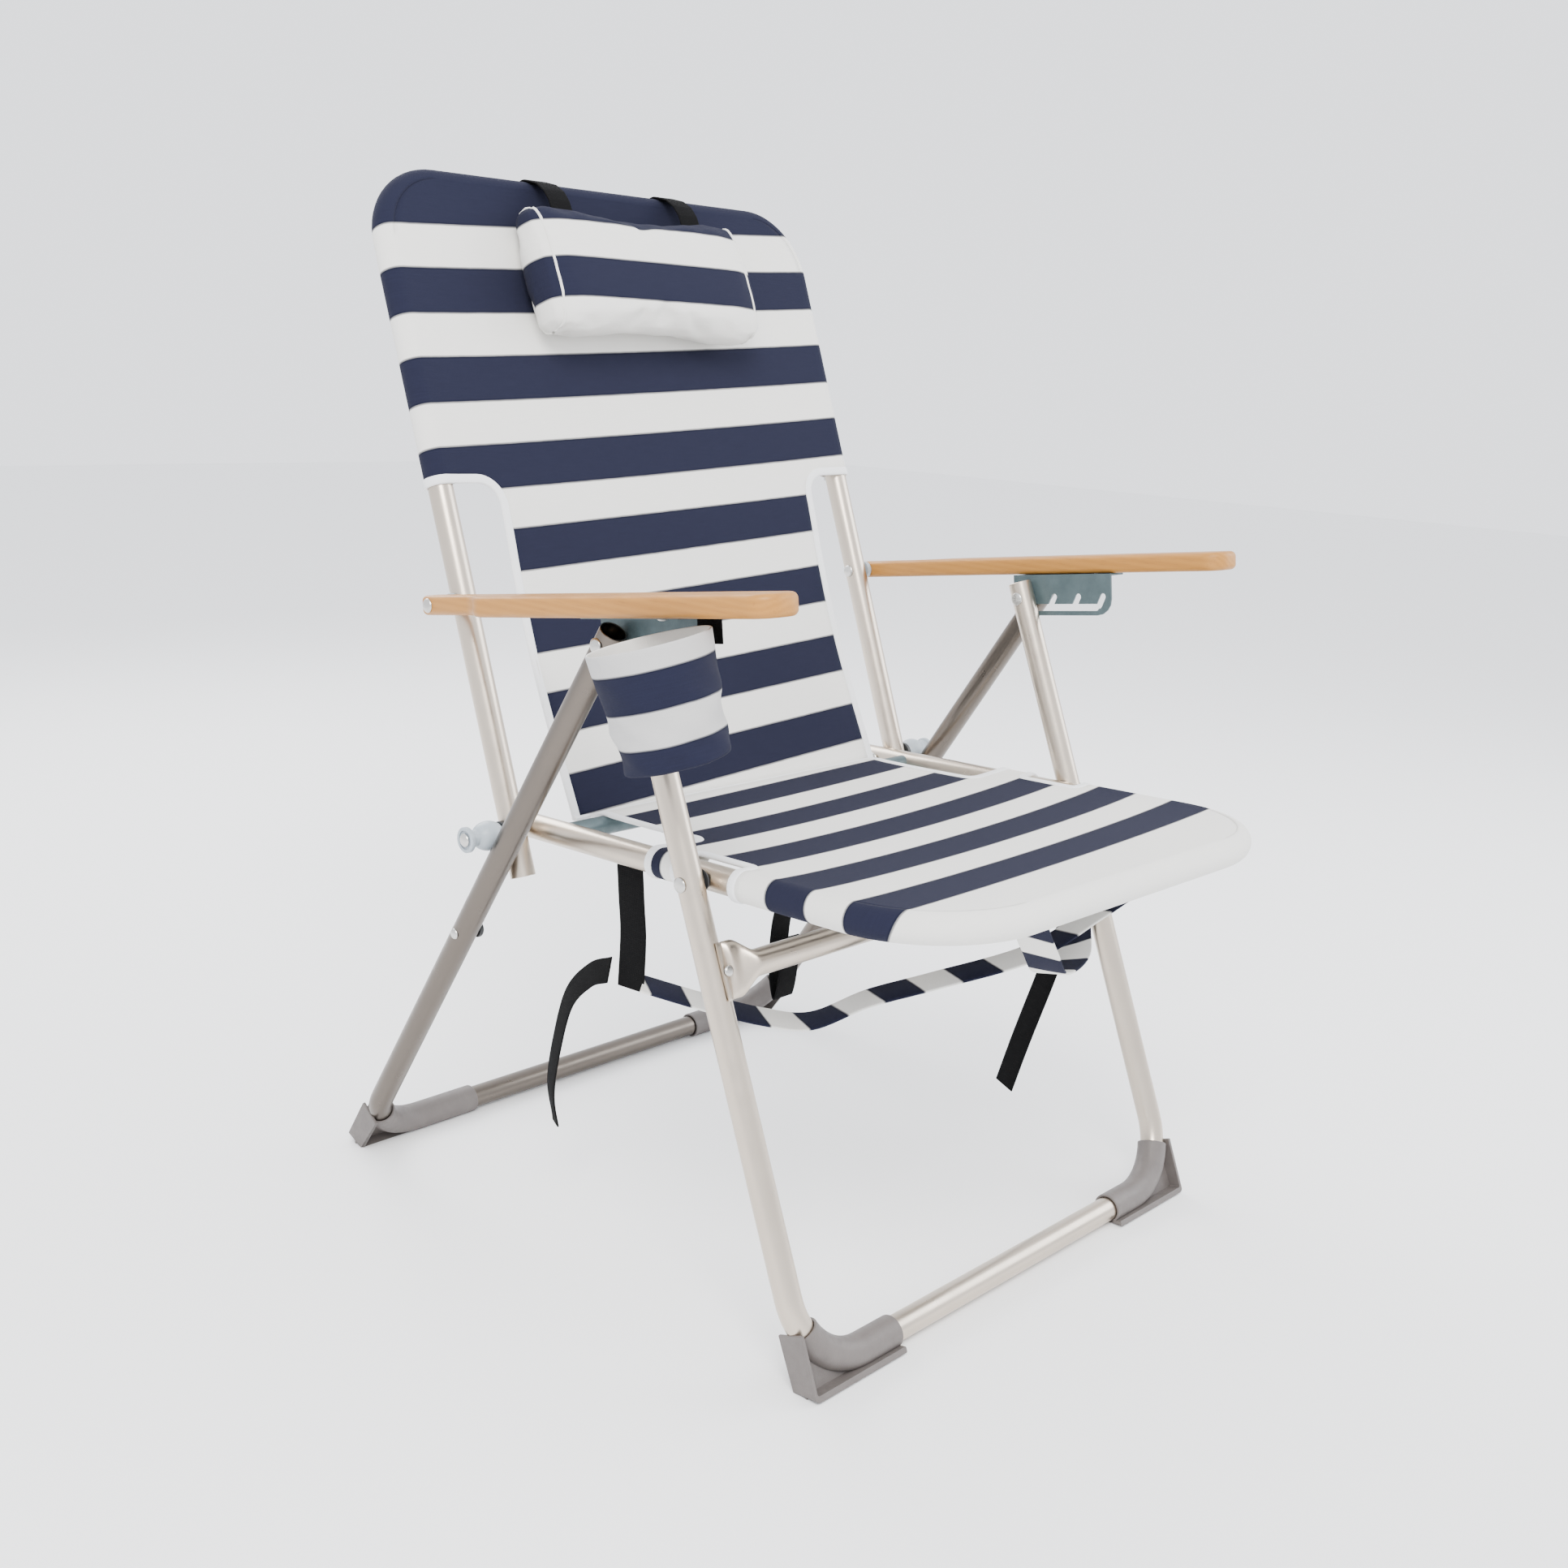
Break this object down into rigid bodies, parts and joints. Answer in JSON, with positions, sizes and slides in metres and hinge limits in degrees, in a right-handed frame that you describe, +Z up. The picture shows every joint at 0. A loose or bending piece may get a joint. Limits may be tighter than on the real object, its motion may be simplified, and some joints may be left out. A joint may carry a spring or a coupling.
{
  "type": "folding beach chair",
  "caption": "Folding reclining beach chair with a tube frame, striped cloth seat and back, wooden arms, a head pillow, a cup holder and carry straps.",
  "frame": {"origin": "centre of the bounding box on the floor, under the chair", "axes": "+Z up, -Y to the front, X across the chair with the sitter's right at -X"},
  "size_m": [0.6868, 0.7024, 0.9316],
  "materials": {
    "aluminium": "satin drawn tube",
    "steel": "plated rivets and bolts",
    "bracket_paint": "dark grey-green painted steel",
    "beech": "lacquered beech",
    "foot_plastic": "taupe grey moulded",
    "spool_plastic": "pale grey-blue moulded",
    "dark_plastic": "black moulded",
    "striped_cloth": "navy and cream striped plain weave",
    "cream_cloth": "cream plain weave",
    "webbing": "black woven webbing"
  },
  "bodies": {
    "arm_left": {"arm_left": "beech", "bracket_screw_left": "steel", "notch_bracket_left": "bracket_paint"},
    "arm_right": {"arm_right": "beech", "bracket_screw_right": "steel", "cup_hanger": "webbing", "cup_holder": "striped_cloth", "notch_bracket_right": "bracket_paint"},
    "arm_rivets": {"arm_rivet_left": "steel", "arm_rivet_right": "steel", "arm_spacer_left": "spool_plastic", "arm_spacer_right": "spool_plastic"},
    "pivot_bolts": {"back_bolt_left": "steel", "back_bolt_right": "steel", "rest_spool_left": "spool_plastic", "rest_spool_right": "spool_plastic", "spool_washer_left": "dark_plastic", "spool_washer_right": "dark_plastic"},
    "back": {"back_cloth": "striped_cloth", "back_tube": "aluminium", "pillow": "cream_cloth", "pillow_strap_left": "webbing", "pillow_strap_right": "webbing"},
    "rear_frame": {"bumper_rivet_left": "steel", "bumper_rivet_right": "steel", "leg_bumper_left": "dark_plastic", "leg_bumper_right": "dark_plastic", "rear_foot_left": "foot_plastic", "rear_foot_right": "foot_plastic", "rear_leg_tube": "aluminium", "rear_notch_pin_left": "steel", "rear_notch_pin_right": "steel"},
    "seat": {"carry_strap_left": "striped_cloth", "carry_strap_right": "striped_cloth", "seat_cloth": "striped_cloth", "seat_cross_tube": "aluminium", "seat_tube": "aluminium", "seat_washer_left": "dark_plastic", "seat_washer_right": "dark_plastic", "webbing_left": "webbing", "webbing_loop": "webbing", "webbing_right": "webbing", "webbing_tail_left": "webbing", "webbing_tail_right": "webbing"},
    "front_frame": {"cross_tube_rivet_left": "steel", "cross_tube_rivet_right": "steel", "front_cross_tube": "aluminium", "front_foot_left": "foot_plastic", "front_foot_right": "foot_plastic", "front_leg_tube": "aluminium", "front_notch_pin_left": "steel", "front_notch_pin_right": "steel", "seat_rivet_left": "steel", "seat_rivet_right": "steel"}
  },
  "joints": [
    {"name": "fold", "type": "hinge", "parent": "front_frame", "child": "seat", "pos_m": [0.02849, -0.10245, 0.3767], "axis": [-1, 0, 0], "range_deg": [0, 94], "deforming": ["carry_strap_left", "carry_strap_right", "webbing_left", "webbing_loop", "webbing_right", "webbing_tail_left", "webbing_tail_right"]},
    {"name": "rear_legs", "type": "hinge", "parent": "front_frame", "child": "rear_frame", "pos_m": [0.02849, -0.02872, 0.556], "axis": [-1, 0, 0], "range_deg": [0, 52]},
    {"name": "back_fold", "type": "hinge", "parent": "seat", "child": "pivot_bolts", "pos_m": [0.02849, 0.12548, 0.3671], "axis": [-1, 0, 0], "range_deg": [-89.2, 0]},
    {"name": "recline", "type": "hinge", "parent": "pivot_bolts", "child": "back", "pos_m": [0.02849, 0.12548, 0.3671], "axis": [-1, 0, 0], "range_deg": [0, 25], "deforming": ["cup_holder"]},
    {"name": "arm_follow", "type": "hinge", "parent": "back", "child": "arm_rivets", "pos_m": [0.02849, 0.19701, 0.55772], "axis": [-1, 0, 0], "range_deg": [-16, 0]},
    {"name": "arm_right_fold", "type": "hinge", "parent": "arm_rivets", "child": "arm_right", "pos_m": [0.02849, 0.19701, 0.55772], "axis": [-1, 0, 0], "range_deg": [0, 89.1]},
    {"name": "arm_left_fold", "type": "hinge", "parent": "arm_rivets", "child": "arm_left", "pos_m": [0.02849, 0.19701, 0.55772], "axis": [-1, 0, 0], "range_deg": [0, 89.1]}
  ],
  "couplings": [
    {"joint": "rear_legs", "follows": "fold", "ratio": 0.55},
    {"joint": "back_fold", "follows": "fold", "ratio": -0.946},
    {"joint": "arm_follow", "follows": "recline", "ratio": -0.636},
    {"joint": "arm_right_fold", "follows": "fold", "ratio": 0.945},
    {"joint": "arm_left_fold", "follows": "fold", "ratio": 0.945}
  ]
}
